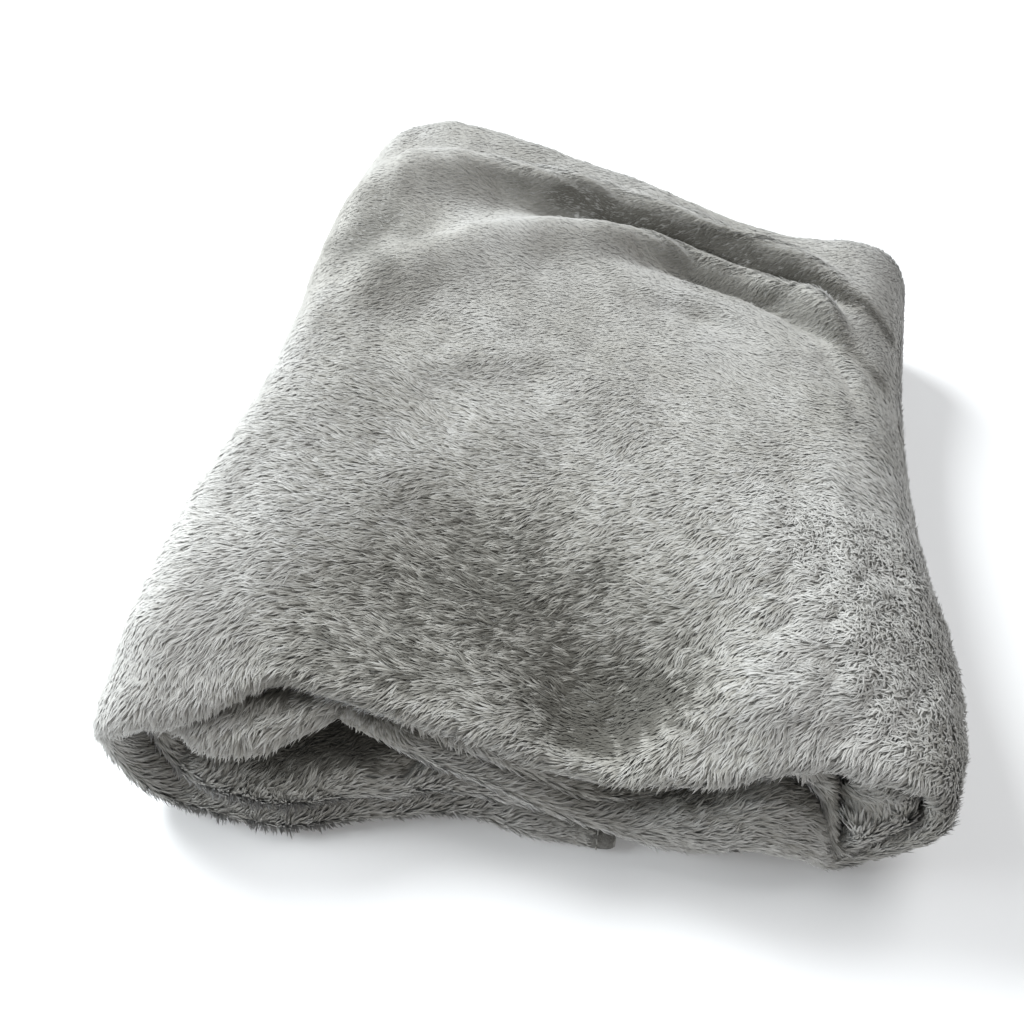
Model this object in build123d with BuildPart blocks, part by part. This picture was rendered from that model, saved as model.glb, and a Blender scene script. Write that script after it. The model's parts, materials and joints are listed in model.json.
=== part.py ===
"""Folded plush throw blanket, lying on a flat surface.

The throw is a strip of four layers (each long edge brought to the middle, then
doubled), and that strip is folded in thirds with both end thirds tucked below.
From the front (X to the right, Z up, Y away from the front) the panels lie so:

    left side fold    centre panel, from fold to fold    right side fold
    left side fold        right flap, its tip            right side fold
    left side fold    left flap  |  right flap           right side fold

Everything but the left flap lifts as one lid. The left side fold turns on the
left flap, and the lid turns on the left side fold.
Origin: middle of the footprint, on the surface it lies on. +Z is up, sizes in mm.
"""
from build123d import *
import os

# ---- overall size -------------------------------------------------------
fold_width = 430.0       # left fold to right fold
depth_left = 504.0       # front to back along the left fold
front_skew = 38.0        # how far the front edge draws back from left to right
back_skew = 72.0         # how far the back edge draws in from left to right

# ---- the cloth ----------------------------------------------------------
layer = 7.0              # one layer of cloth with its pile pressed flat
pair_gap = 0.4           # between two neighbouring pairs of layers
rest_gap = 0.5           # between one panel and the panel it lies on
front_round = 4.0        # rounding of a front fold edge
front_step = 8.0         # how far each pair of layers sits behind the one below

# ---- where the folds and flaps are --------------------------------------
left_height = 105.0      # top of the left side fold
right_height = 98.0      # top of the right side fold
left_flap_end = 45.0     # x of the left flap's free end
right_flap_end = -110.0  # x of the right flap's free end, on the left flap
step_run = 64.0          # run over which the right flap comes down off the left flap
dip_depth = 21.0         # sag of the centre panel below the top of the right side fold

# ---- hems ---------------------------------------------------------------
hem_width = 14.0         # turned hem along a cut edge
hem_gap = 0.3            # between a hem and the layers it closes
hem_thinning = 1.2       # how much flatter the sewn hem is than a layer
hem_round = 1.5
thread_radius = 0.4
thread_inset = 4.0       # stitch row to the cut edge
thread_end = 3.0         # stitch row to the end of the hem

# ---- worked out ---------------------------------------------------------
pair = 2 * layer
panel = 2 * pair
half_width = fold_width / 2
half_gap = pair_gap / 2
reach = 2 * depth_left
tall = 2 * (left_height + right_height)

hinge_x = -half_width + pair
upper_hinge_z = left_height - pair
right_bend_r = right_height / 2
right_bend_x = half_width - right_bend_r
tip_mid_z = panel + rest_gap + pair
centre_mid_z = tip_mid_z + pair + rest_gap + pair
dip_mid_z = right_height - dip_depth - pair
step_start = left_flap_end + rest_gap + layer
step_end = step_start + step_run


def front_y(x):
    """The front edge of the footprint."""
    return -depth_left / 2 + front_skew * (x + half_width) / fold_width


def back_y(x):
    """The back edge of the footprint."""
    return depth_left / 2 - back_skew * (x + half_width) / fold_width


def plan(front_inset, back_inset):
    """The footprint, drawn in from its front and back edges."""
    low_x = -fold_width
    high_x = fold_width
    with BuildSketch() as outline:
        with BuildLine():
            Polyline(
                (low_x, front_y(low_x) + front_inset),
                (high_x, front_y(high_x) + front_inset),
                (high_x, back_y(high_x) - back_inset),
                (low_x, back_y(low_x) - back_inset),
                close=True,
            )
        make_face()
    return outline.sketch


def back_strip(near_inset, far_inset):
    """A strip of the footprint that follows its back edge."""
    with BuildSketch() as strip:
        add(plan(0, far_inset))
        add(plan(0, near_inset), mode=Mode.SUBTRACT)
    return strip.sketch


def level_band(low_x, high_x, low_z, high_z):
    """Front view of a level band of cloth."""
    with BuildSketch(Plane.XZ) as band:
        with BuildLine():
            Polyline((low_x, low_z), (high_x, low_z), (high_x, high_z), (low_x, high_z), close=True)
        make_face()
    return band.sketch


def barrel(mid_z, inner, outer):
    """The quarter round that ends a pair of layers at the left side fold."""
    Line((hinge_x, mid_z + inner), (hinge_x - abs(outer), mid_z + inner))
    TangentArc((hinge_x, mid_z + outer), (hinge_x - abs(outer), mid_z + inner), tangent=(-1, 0))


def left_flap_band(inner, outer):
    """Front view of one pair of the left flap, between two heights from its middle."""
    end_x = left_flap_end - hem_width - hem_gap
    with BuildSketch(Plane.XZ) as band:
        with BuildLine():
            barrel(pair, inner, outer)
            Polyline(
                (hinge_x, pair + inner),
                (end_x, pair + inner),
                (end_x, pair + outer),
                (hinge_x, pair + outer),
            )
        make_face()
    return band.sketch


def centre_edge(offset):
    """The sagging line of the centre panel at a height from its middle."""
    level = [(1, 0), (1, 0)]
    shoulder = Line((hinge_x, upper_hinge_z + offset), (hinge_x + pair, upper_hinge_z + offset))
    fall = Spline(shoulder @ 1, (right_flap_end, centre_mid_z + offset), tangents=level)
    rest = Line(fall @ 1, (step_start, centre_mid_z + offset))
    dip = Spline(rest @ 1, (step_end, dip_mid_z + offset), tangents=level)
    rise = Spline(dip @ 1, (right_bend_x, right_height - pair + offset), tangents=level)
    return shoulder @ 0, rise @ 1


def centre_band(inner, outer, rounded=True):
    """Front view of one pair of the centre panel."""
    with BuildSketch(Plane.XZ) as band:
        with BuildLine():
            near_start, near_end = centre_edge(inner)
            far_start, far_end = centre_edge(outer)
            Line(near_end, far_end)
            if rounded:
                barrel(upper_hinge_z, inner, outer)
            else:
                Line(near_start, far_start)
        make_face()
    return band.sketch


def flap_edge(low_x, offset):
    """The line of the right flap, from its tip down to the surface it lies on."""
    tip = Line((low_x, tip_mid_z + offset), (step_start, tip_mid_z + offset))
    slope = Spline(tip @ 1, (step_end, pair + offset), tangents=[(1, 0), (1, 0)])
    foot = Line(slope @ 1, (right_bend_x, pair + offset))
    return tip @ 0, foot @ 1


def right_flap_band(inner, outer, low_x=right_flap_end + hem_width + hem_gap):
    """Front view of one pair of the right flap."""
    with BuildSketch(Plane.XZ) as band:
        with BuildLine():
            near_start, near_end = flap_edge(low_x, inner)
            far_start, far_end = flap_edge(low_x, outer)
            Line(near_start, far_start)
            Line(near_end, far_end)
        make_face()
    return band.sketch


def bend_band(inner, outer):
    """Front view of the right side fold between two radii."""
    with BuildSketch(Plane.XZ) as band:
        with Locations((right_bend_x, right_bend_r)):
            Circle(outer)
            Circle(inner, mode=Mode.SUBTRACT)
        with Locations((right_bend_x - outer, right_bend_r)):
            Rectangle(2 * outer, 3 * outer, mode=Mode.SUBTRACT)
    return band.sketch


def run_back(band, footprint):
    """A front view run from front to back inside a footprint."""
    with BuildPart() as piece:
        extrude(band, amount=reach, both=True)
        extrude(footprint, amount=tall, both=True, mode=Mode.INTERSECT)
    return piece.part


def cloth(band, level, notch_band=None):
    """A pair of layers with rounded front edges and, where asked, room for a hem."""
    with BuildPart() as piece:
        add(run_back(band, plan(level * front_step, 0)))
        front_face = piece.faces().sort_by(Axis.Y)[0]
        fillet(front_face.edges().filter_by(lambda edge: edge.length > pair + 1), radius=front_round)
        if notch_band is not None:
            room = back_strip(layer + hem_width + 2 * hem_gap, layer)
            add(run_back(notch_band, room), mode=Mode.SUBTRACT)
    return piece.part


def back_hem(band):
    """A turned hem that lies inside the back fold of a panel."""
    return run_back(band, back_strip(layer + hem_width + hem_gap, layer + hem_gap))


def end_hem(low_x, bottom_z):
    """The turned hems at the free end of a flap, one on each of its four layers."""
    with BuildPart() as hems:
        for step in range(4):
            low_z = bottom_z + step * layer + hem_thinning / 2
            band = level_band(low_x, low_x + hem_width, low_z, low_z + layer - hem_thinning)
            add(run_back(band, plan((step // 2) * front_step, 0)))
        fillet(hems.edges().filter_by(Axis.Y), radius=hem_round)
    return hems.part


def thread(x, top_z):
    """A row of stitching along the top of an end hem."""
    with BuildPart() as row:
        with BuildSketch(Plane.XZ.offset(-back_y(x) + thread_end)):
            with Locations((x, top_z + thread_radius + pair_gap / 10)):
                Circle(thread_radius)
        extrude(amount=back_y(x) - front_y(x) - front_step - 2 * thread_end)
    return row.part


def save(piece, name):
    """Label a finished piece and write its STEP file."""
    piece.part.label = name
    export_step(piece.part, f"parts/{name}.step")


os.makedirs("parts", exist_ok=True)

# ---- left flap: lies flat on the surface --------------------------------
with BuildPart() as left_flap_lower:
    add(cloth(left_flap_band(-half_gap, -pair), 0, level_band(hinge_x, left_flap_end, layer, pair)))
save(left_flap_lower, "left_flap_lower_layers")

with BuildPart() as left_flap_upper:
    add(cloth(left_flap_band(half_gap, pair), 1, level_band(hinge_x, left_flap_end, pair, pair + layer)))
save(left_flap_upper, "left_flap_upper_layers")

with BuildPart() as left_back_hem:
    left_room_end = left_flap_end - hem_width - 2 * hem_gap
    for low_z in (layer + hem_thinning, pair + half_gap):
        add(back_hem(level_band(hinge_x + hem_gap, left_room_end, low_z, low_z + layer - hem_thinning - half_gap)))
save(left_back_hem, "left_flap_back_hem")

with BuildPart() as left_end_hem:
    add(end_hem(left_flap_end - hem_width, 0))
save(left_end_hem, "left_flap_end_hem")

with BuildPart() as left_end_thread:
    add(thread(left_flap_end - thread_inset, panel - hem_thinning / 2))
save(left_end_thread, "left_flap_end_thread")

# ---- left side fold: turns on the left flap, and the lid turns on it -----
side_low_z = panel + rest_gap
side_high_z = left_height - panel - rest_gap

with BuildPart() as left_side_outer:
    outer_band = level_band(hinge_x - pair, hinge_x - half_gap, side_low_z, side_high_z)
    add(run_back(outer_band, plan(front_step, 0)))
save(left_side_outer, "left_side_outer_layers")

with BuildPart() as left_side_inner:
    inner_band = level_band(hinge_x + half_gap, hinge_x + pair, side_low_z, side_high_z)
    add(run_back(inner_band, plan(front_step, 0)))
save(left_side_inner, "left_side_inner_layers")

# ---- centre panel: spans from fold to fold on top ------------------------
with BuildPart() as centre_lower:
    add(cloth(centre_band(-half_gap, -pair), 3, centre_band(0, -layer, rounded=False)))
save(centre_lower, "centre_lower_layers")

with BuildPart() as centre_upper:
    add(cloth(centre_band(half_gap, pair), 4, centre_band(0, layer, rounded=False)))
save(centre_upper, "centre_upper_layers")

with BuildPart() as centre_back_hem:
    for side in (-1, 1):
        add(back_hem(centre_band(side * half_gap, side * (layer - hem_thinning), rounded=False)))
save(centre_back_hem, "centre_back_hem")

# ---- right side fold: one bend that carries the top round to the flap ----
with BuildPart() as right_side_outer:
    add(run_back(bend_band(right_bend_r - pair + half_gap, right_bend_r), plan(front_step, 0)))
save(right_side_outer, "right_side_outer_layers")

with BuildPart() as right_side_inner:
    add(run_back(bend_band(right_bend_r - panel, right_bend_r - pair - half_gap), plan(front_step, 0)))
save(right_side_inner, "right_side_inner_layers")

# ---- right flap: under the centre panel, its tip on the left flap --------
with BuildPart() as right_flap_lower:
    add(cloth(right_flap_band(-half_gap, -pair), 0, right_flap_band(0, -layer)))
save(right_flap_lower, "right_flap_lower_layers")

with BuildPart() as right_flap_upper:
    add(cloth(right_flap_band(half_gap, pair), 1, right_flap_band(0, layer)))
save(right_flap_upper, "right_flap_upper_layers")

with BuildPart() as right_back_hem:
    right_room_start = right_flap_end + hem_width + 2 * hem_gap
    for side in (-1, 1):
        add(back_hem(right_flap_band(side * half_gap, side * (layer - hem_thinning), right_room_start)))
save(right_back_hem, "right_flap_back_hem")

with BuildPart() as right_end_hem:
    add(end_hem(right_flap_end, panel + rest_gap))
save(right_end_hem, "right_flap_end_hem")

with BuildPart() as right_end_thread:
    add(thread(right_flap_end + thread_inset, 2 * panel + rest_gap - hem_thinning / 2))
save(right_end_thread, "right_flap_end_thread")
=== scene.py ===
"""Folded plush throw blanket: cloth, pile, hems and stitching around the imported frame."""

import json
import math

import bpy
import numpy as np
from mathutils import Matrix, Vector


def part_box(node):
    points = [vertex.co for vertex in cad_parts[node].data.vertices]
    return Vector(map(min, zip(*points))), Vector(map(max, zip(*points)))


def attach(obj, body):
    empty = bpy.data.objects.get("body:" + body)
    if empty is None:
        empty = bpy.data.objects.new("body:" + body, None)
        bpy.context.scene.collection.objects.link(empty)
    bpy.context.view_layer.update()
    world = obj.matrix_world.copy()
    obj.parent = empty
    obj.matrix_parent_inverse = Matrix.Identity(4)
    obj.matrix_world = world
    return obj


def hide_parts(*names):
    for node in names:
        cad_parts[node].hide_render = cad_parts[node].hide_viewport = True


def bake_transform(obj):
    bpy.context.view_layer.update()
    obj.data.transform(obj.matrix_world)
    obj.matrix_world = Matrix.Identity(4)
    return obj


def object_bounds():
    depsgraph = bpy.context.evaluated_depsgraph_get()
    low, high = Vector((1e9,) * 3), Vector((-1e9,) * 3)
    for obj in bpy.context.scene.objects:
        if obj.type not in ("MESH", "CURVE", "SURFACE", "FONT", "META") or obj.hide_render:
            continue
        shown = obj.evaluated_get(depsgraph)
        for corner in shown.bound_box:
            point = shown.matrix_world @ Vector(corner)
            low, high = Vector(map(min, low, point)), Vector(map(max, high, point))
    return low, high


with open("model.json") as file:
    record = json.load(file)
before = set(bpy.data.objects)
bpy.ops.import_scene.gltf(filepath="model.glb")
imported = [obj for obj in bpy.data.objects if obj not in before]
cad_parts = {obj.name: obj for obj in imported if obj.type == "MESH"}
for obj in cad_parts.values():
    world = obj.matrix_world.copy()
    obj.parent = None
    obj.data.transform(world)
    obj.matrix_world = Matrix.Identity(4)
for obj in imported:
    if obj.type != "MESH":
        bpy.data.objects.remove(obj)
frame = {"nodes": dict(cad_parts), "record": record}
cad_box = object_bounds()
MM = 0.001


def span(*nodes):
    """Lowest and highest corner of some CAD nodes, in millimetres."""
    boxes = [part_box(node) for node in nodes]
    low = np.min([np.array(pair[0]) for pair in boxes], axis=0) / MM
    high = np.max([np.array(pair[1]) for pair in boxes], axis=0) / MM
    return low, high


# ---- sizes read from the frame ------------------------------------------
all_low = np.array(cad_box[0]) / MM
all_high = np.array(cad_box[1]) / MM
_, left_high = span("left_flap_lower_layers", "left_flap_upper_layers", "left_flap_end_hem")
tip_low, tip_high = span("right_flap_end_hem")
bend_low, bend_high = span("right_side_outer_layers")
hinges = {j["name"]: np.array(j["pos_m"]) / MM for j in frame["record"]["behaviour"]["joints"]}
bottom_hinge = hinges["left_fold_bottom_bend"]
top_hinge = hinges["left_fold_top_bend"]

PAIR = bottom_hinge[2]                 # two layers of cloth
LAYER = PAIR / 2
INNER, OUTER = LAYER / 2, 1.5 * LAYER  # distance of the two layers of a pair from the strip's middle
FLAT_Z = PAIR                          # mid height of a panel that lies on the floor
TIP_Z = (tip_low[2] + tip_high[2]) / 2
BEND_R = (bend_high[2] - bend_low[2]) / 2 - PAIR
BEND_X = bend_low[0]                   # centre of the right side fold's turn
BEND_Z = (bend_high[2] + bend_low[2]) / 2
LEFT_TURN_X = bottom_hinge[0] + PAIR + 4  # centre of the left side fold's turn
LEFT_TURN_Z = (bottom_hinge[2] + top_hinge[2]) / 2
LEFT_TURN_RX = 24.0
LEFT_TURN_RZ = top_hinge[2] - LEFT_TURN_Z
LEFT_END = left_high[0]
TIP_X = tip_low[0]
THICK = 2.2                            # half the thickness of one layer without its pile
HEM = 14.0                             # width of the turned hem
DEEP = all_high[1] - all_low[1]
ACROSS = DEEP - 40                     # depth by which points across the strip are spaced
NEAR_Y, FAR_Y = -130, 150              # where the pile is at its longest, and at its shortest


# ---- smooth steps and interpolation --------------------------------------
def smooth(value, start, end):
    """0 at the start, 1 at the end, with a soft step between."""
    share = np.clip((value - start) / (end - start), 0, 1)
    return share * share * (3 - 2 * share)


def curve(points, at):
    """A smooth line through points (x, value), read at some x values."""
    xs, ys = np.array(points, float).T
    slopes = np.diff(ys) / np.diff(xs)
    tangents = np.zeros(len(xs))
    inner = slopes[:-1] * slopes[1:] > 0
    mean = 2 * slopes[:-1] * slopes[1:] / np.where(inner, slopes[:-1] + slopes[1:], 1)
    tangents[1:-1] = np.where(inner, mean, 0)
    tangents[0], tangents[-1] = slopes[0], slopes[-1]
    at = np.clip(at, xs[0], xs[-1])
    index = np.clip(np.searchsorted(xs, at) - 1, 0, len(xs) - 2)
    width = xs[index + 1] - xs[index]
    t = (at - xs[index]) / width
    start, end = (1 + 2 * t) * (1 - t) ** 2, t * t * (3 - 2 * t)
    rise, fall = t * (1 - t) ** 2, t * t * (t - 1)
    slope_part = width * (rise * tangents[index] + fall * tangents[index + 1])
    return start * ys[index] + end * ys[index + 1] + slope_part


def blob(a, b, centre, reach):
    """1 at a centre, and less over a reach in both directions."""
    return np.exp(-(((a - centre[0]) / reach[0]) ** 2) - ((b - centre[1]) / reach[1]) ** 2)


class Plate:
    """A thin plate bent close to points (x, y, height)."""

    EASE = 0.6                         # how far the plate may miss its points to stay smooth

    def __init__(self, points):
        points = np.array(points, float)
        self.centres = points[:, :2]
        count = len(points)
        matrix = np.zeros((count + 3, count + 3))
        matrix[:count, :count] = self.kernel(self.centres) + self.EASE * np.eye(count)
        matrix[:count, count:] = np.column_stack([np.ones(count), self.centres])
        matrix[count:, :count] = matrix[:count, count:].T
        self.weights = np.linalg.solve(matrix, np.append(points[:, 2], [0, 0, 0]))

    def kernel(self, at):
        square = ((at[:, None, :] - self.centres[None]) ** 2).sum(2) + 1e-6
        return 0.5 * square * np.log(square) / 1000

    def __call__(self, x, y):
        at = np.column_stack([np.ravel(x), np.ravel(y)])
        value = self.kernel(at) @ self.weights[:-3] + self.weights[-3] + at @ self.weights[-2:]
        return value.reshape(np.shape(x))


def wave(x, y, seed, size):
    """Smooth noise between about -1 and 1."""
    dice = np.random.default_rng(seed)
    total = np.zeros(np.shape(x))
    for _ in range(14):
        angle, phase = dice.uniform(0, 2 * math.pi, 2)
        scale = 2 * math.pi / (size * dice.uniform(0.7, 1.6))
        total = total + np.sin(scale * (x * math.cos(angle) + y * math.sin(angle)) + phase)
    return total / 4.2


def near_line(x, y, line):
    """Distance to a line of points, which side it is on, and the share of the way along it."""
    best = np.full(np.shape(x), 1e9)
    side = np.zeros(np.shape(x))
    along = np.zeros(np.shape(x))
    line = np.array(line, float)
    for number in range(len(line) - 1):
        a, b = line[number], line[number + 1]
        d = b - a
        t = np.clip(((x - a[0]) * d[0] + (y - a[1]) * d[1]) / (d @ d), 0, 1)
        dx, dy = x - a[0] - t * d[0], y - a[1] - t * d[1]
        distance = np.hypot(dx, dy)
        closer = distance < best
        best = np.where(closer, distance, best)
        side = np.where(closer, np.sign(d[0] * dy - d[1] * dx), side)
        along = np.where(closer, (number + t) / (len(line) - 1), along)
    return best, side, along


# ---- the line of the strip, from the left flap's end to the right flap's tip -----
FLAT_POINTS, TURN_POINTS, PANEL_POINTS, UNDER_POINTS = 60, 40, 90, 80
PANEL = slice(FLAT_POINTS + TURN_POINTS - 1, FLAT_POINTS + TURN_POINTS + PANEL_POINTS)


def strip_line():
    """Points (x, z) along the middle of the strip, and the distance at which each stretch starts."""
    turn = np.linspace(-math.pi / 2, math.pi / 2, TURN_POINTS)
    flat = [(x, FLAT_Z) for x in np.linspace(LEFT_END, LEFT_TURN_X, FLAT_POINTS)]
    left_turn = [
        (LEFT_TURN_X - LEFT_TURN_RX * math.cos(a), LEFT_TURN_Z + LEFT_TURN_RZ * math.sin(a)) for a in turn
    ]
    panel_x = np.linspace(LEFT_TURN_X, BEND_X, PANEL_POINTS)
    over_tip = tip_high[2] + PAIR + 1
    knots = [
        (LEFT_TURN_X, top_hinge[2]),
        (TIP_X, over_tip),
        (LEFT_END, over_tip),
        (LEFT_END + 70, over_tip - 6),
        (BEND_X, BEND_Z + BEND_R),
    ]
    panel = list(zip(panel_x, curve(knots, panel_x)))
    right_turn = [(BEND_X + BEND_R * math.cos(a), BEND_Z - BEND_R * math.sin(a)) for a in turn]
    under_x = np.linspace(BEND_X, TIP_X, UNDER_POINTS)
    under_knots = [(TIP_X, TIP_Z), (LEFT_END + 8, TIP_Z), (LEFT_END + 66, FLAT_Z), (BEND_X, FLAT_Z)]
    under = list(zip(under_x, curve(under_knots, under_x)))
    parts = [flat, left_turn, panel, right_turn, under]
    points, starts = [parts[0][0]], [0.0]
    for part in parts:
        points += part[1:]
        steps = np.diff(np.array(points), axis=0)
        starts.append(float(np.hypot(*steps.T).sum()))
    return np.array(points), starts


line_points, starts = strip_line()
line_steps = np.hypot(*np.diff(line_points, axis=0).T)
line_s = np.concatenate([[0], np.cumsum(line_steps)])
S_LEFT, S_TOP, S_BEND, S_UNDER, S_END = starts[1:]
S_MID = (S_LEFT + S_TOP) / 2           # half way up the left side fold


def mid_at(s):
    """Point and outward normal of the strip's middle at a distance along it."""
    x = np.interp(s, line_s, line_points[:, 0])
    z = np.interp(s, line_s, line_points[:, 1])
    ahead, back = np.clip(s + 3, 0, S_END), np.clip(s - 3, 0, S_END)
    dx = np.interp(ahead, line_s, line_points[:, 0]) - np.interp(back, line_s, line_points[:, 0])
    dz = np.interp(ahead, line_s, line_points[:, 1]) - np.interp(back, line_s, line_points[:, 1])
    length = np.hypot(dx, dz) + 1e-9
    return x, z, -dz / length, dx / length


def on_left(x):
    """Strip distance at which the left flap is at some x."""
    return S_LEFT - (x - LEFT_TURN_X)


def on_top(x):
    """Strip distance at which the centre panel is at some x."""
    return S_TOP + (x - LEFT_TURN_X) * (S_BEND - S_TOP) / (BEND_X - LEFT_TURN_X)


def on_under(x):
    """Strip distance at which the right flap is at some x."""
    return S_UNDER + (BEND_X - x) * (S_END - S_UNDER) / (BEND_X - TIP_X)


# ---- front and back edges of the pairs of layers --------------------------
def along_strip(reach, points):
    """Points (x, y) of a stretch, as points (distance along the strip, y)."""
    return [(reach(x), y) for x, y in points]


front_outer = sorted([
    *along_strip(on_left, [
        (45, -227), (33, -229), (1, -229), (-29, -225), (-83, -236), (-133, -249), (-165, -248),
    ]),
    (S_LEFT + 14, -245), (S_MID - 8, -239), (S_MID + 16, -236), (S_TOP - 12, -235), (S_TOP, -232),
    *along_strip(on_top, [
        (-172, -227), (-155, -218), (-138, -207), (-122, -201), (-99, -203), (-45, -207),
        (10, -212), (45, -214),
    ]),
    *along_strip(on_top, [
        (74, -212), (100, -205), (117, -200), (139, -196), (160, -198),
    ]),
    (S_BEND + 25, -200), (S_BEND + 60, -212), (S_UNDER - 15, -217),
    *along_strip(on_under, [
        (150, -220), (110, -224), (75, -225), (45, -226), (15, -226), (-30, -220), (-63, -216),
        (-85, -212), (-110, -206),
    ]),
])
front_inner = sorted([
    *along_strip(on_left, [
        (45, -212), (0, -219), (-29, -220), (-83, -232), (-133, -243), (-165, -241),
    ]),
    (S_LEFT + 14, -230), (S_MID, -218), (S_TOP - 16, -220),
    *along_strip(on_top, [
        (-176, -226), (-154, -234), (-128, -230), (-108, -216), (-92, -203), (-68, -194),
        (-20, -188), (45, -188),
    ]),
    *along_strip(on_top, [
        (100, -188), (139, -188), (160, -194),
    ]),
    (S_BEND + 20, -202), (S_BEND + 60, -212), (S_UNDER - 15, -214),
    *along_strip(on_under, [
        (140, -216), (110, -219), (75, -219), (45, -218), (15, -216), (-30, -211), (-80, -200),
        (-110, -192),
    ]),
])
back_edge = [
    (-240, 222), (-215, 238), (-196, 251), (-172, 261), (-150, 265), (-60, 248), (2, 231),
    (80, 204), (150, 186), (200, 184), (230, 172),
]


def base_front(x):
    """Front edge of the strip's inside, away from its folds."""
    return all_low[1] + 32 + 0.06 * (x - all_low[0])


def base_back(x):
    """Back edge of the strip."""
    return curve(back_edge, x)


# ---- height of the top, and how the sides bulge ---------------------------
top_height = Plate([
    (-200, 245, 104), (-150, 248, 108), (-60, 232, 101), (20, 212, 95), (100, 185, 87),
    (160, 170, 96), (200, 160, 97), (-210, 120, 94), (-190, 120, 104), (-120, 140, 96),
    (-40, 120, 91), (40, 110, 88), (120, 110, 86), (170, 120, 90), (205, 80, 78), (-210, 20, 94),
    (-190, 20, 104), (-120, 30, 99), (-40, 20, 95), (40, 20, 92), (120, 10, 92), (170, 0, 92),
    (205, -10, 80), (-190, -50, 104), (-120, -40, 98), (-60, -50, 88), (0, -40, 87), (60, -40, 92),
    (120, -50, 96), (170, -60, 94), (-190, -120, 104), (-150, -120, 101), (-110, -112, 94),
    (-70, -110, 80), (-40, -115, 73), (0, -118, 73), (40, -112, 82), (80, -110, 94),
    (120, -110, 99), (165, -115, 99), (205, -110, 80), (-190, -190, 102), (-160, -188, 98),
    (-120, -175, 91), (-85, -165, 81), (-45, -160, 73), (-10, -165, 65), (12, -178, 50),
    (31, -183, 44), (46, -170, 53), (66, -150, 68), (60, -200, 80), (86, -178, 96),
    (106, -164, 101), (130, -160, 98), (175, -165, 96), (205, -170, 80), (-190, -212, 94),
    (-170, -204, 94), (-150, -196, 95), (-110, -202, 93), (-60, -206, 86), (-10, -209, 77),
    (20, -214, 70), (44, -214, 72), (76, -211, 80), (108, -204, 88), (140, -197, 91),
    (170, -198, 91),
])

# line, height, width of the near side, width of the far side, share of the way where it gets steep
ridges = [
    ([
        (-210, 155), (-159, 196), (-97, 203), (-9, 194), (49, 179), (98, 161), (137, 146),
        (190, 118),
    ], 18.0, 8.0, 20.0, 0.12),
    ([
        (-195, 35), (-142, 88), (-97, 128), (-45, 152), (9, 163), (51, 159), (92, 146), (130, 117),
        (155, 93), (190, 60),
    ], 15.0, 8.0, 20.0, 0.25),
    ([
        (-140, 60), (-91, 101), (-21, 130), (21, 113), (68, 104), (119, 74),
    ], 4.0, 8.0, 20.0, 0.4),
    ([
        (100, 120), (150, 84), (195, 30),
    ], 3.0, 8.0, 14.0, 0.3),
    ([
        (-200, -60), (-150, -20), (-80, 20), (0, 40),
    ], 2.5, 14.0, 24.0, 0.3),
    ([
        (135, -152), (105, -163), (80, -180), (56, -202), (40, -218),
    ], 6.0, 12.0, 24.0, 0.25),
]


def creases(x, y):
    """Ridges with the troughs in front of them, and small unevenness."""
    total = np.zeros(np.shape(x))
    gentler, narrowing = 14, 0.58
    trough_depth, trough_reach = 1.2, 22
    for line, height, near, far, start in ridges:
        distance, side, along = near_line(x, y, line)
        steep = smooth(along, start, start + 0.3)
        width = np.where(side < 0, near + gentler * (1 - steep), far * (1 - narrowing * steep))
        fade = smooth(along, -0.1, 0.25) * (1 - smooth(along, 0.76, 0.96))
        crest = np.exp(-((distance / width) ** 2))
        dip = crest - np.exp(-((distance / trough_reach) ** 2))
        trough = np.where(side < 0, trough_depth * steep * dip, 0)
        total = total + height * fade * (crest + trough)
    lumps = smooth(x, 70, 120) * smooth(-y, 50, 100) * (1 - smooth(-y, 175, 200))
    return total + 1.5 * lumps * wave(x, y, 5, 24) + 0.9 * wave(x, y, 6, 60) + 0.5 * wave(x, y, 7, 30)


left_shift = [
    (-250, 6), (-222, 3), (-180, 0), (-117, 0), (-60, 7), (15, 11), (60, 9), (100, 5), (168, 4),
    (210, 8), (240, 14), (265, 20),
]
right_shift = [
    (-230, -14), (-205, -10), (-175, -8), (-140, -9), (-115, -12), (-66, -20), (0, -24), (60, -22),
    (130, -16), (190, -12), (230, -14),
]

# Down from the top along the front edge, the right flap's lower and upper line, the left flap's rise,
# and how far the right front corner stands back at each height.
lid_droop = [
    (-230, 4), (-200, 5), (-165, 6), (-138, 2), (-118, 0), (200, 0),
]
flap_bottom = [
    (-110, 66), (-80, 57), (-41, 45), (5, 36), (34, 23), (48, 13), (64, 1), (90, 0), (200, 0),
]
flap_top = [
    (-110, 82), (-80, 78), (-60, 72), (-10, 58), (25, 45), (50, 47), (80, 60), (96, 71), (108, 78),
    (123, 72), (138, 59), (154, 41), (168, 31), (200, 28),
]
flap_swell = [
    (-220, 4), (-185, 5), (-150, 8), (-110, 14), (-80, 20), (-45, 15), (-10, 4), (30, -8),
    (45, -11),
]
corner_back = [(0, 27), (30, 21), (55, 10), (85, 0), (120, 0)]


def on_panel(s):
    """1 on the centre panel, and less into the side folds."""
    return smooth(s, S_MID - 6, S_TOP) * (1 - smooth(s, S_BEND + 10, S_BEND + 78))


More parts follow.
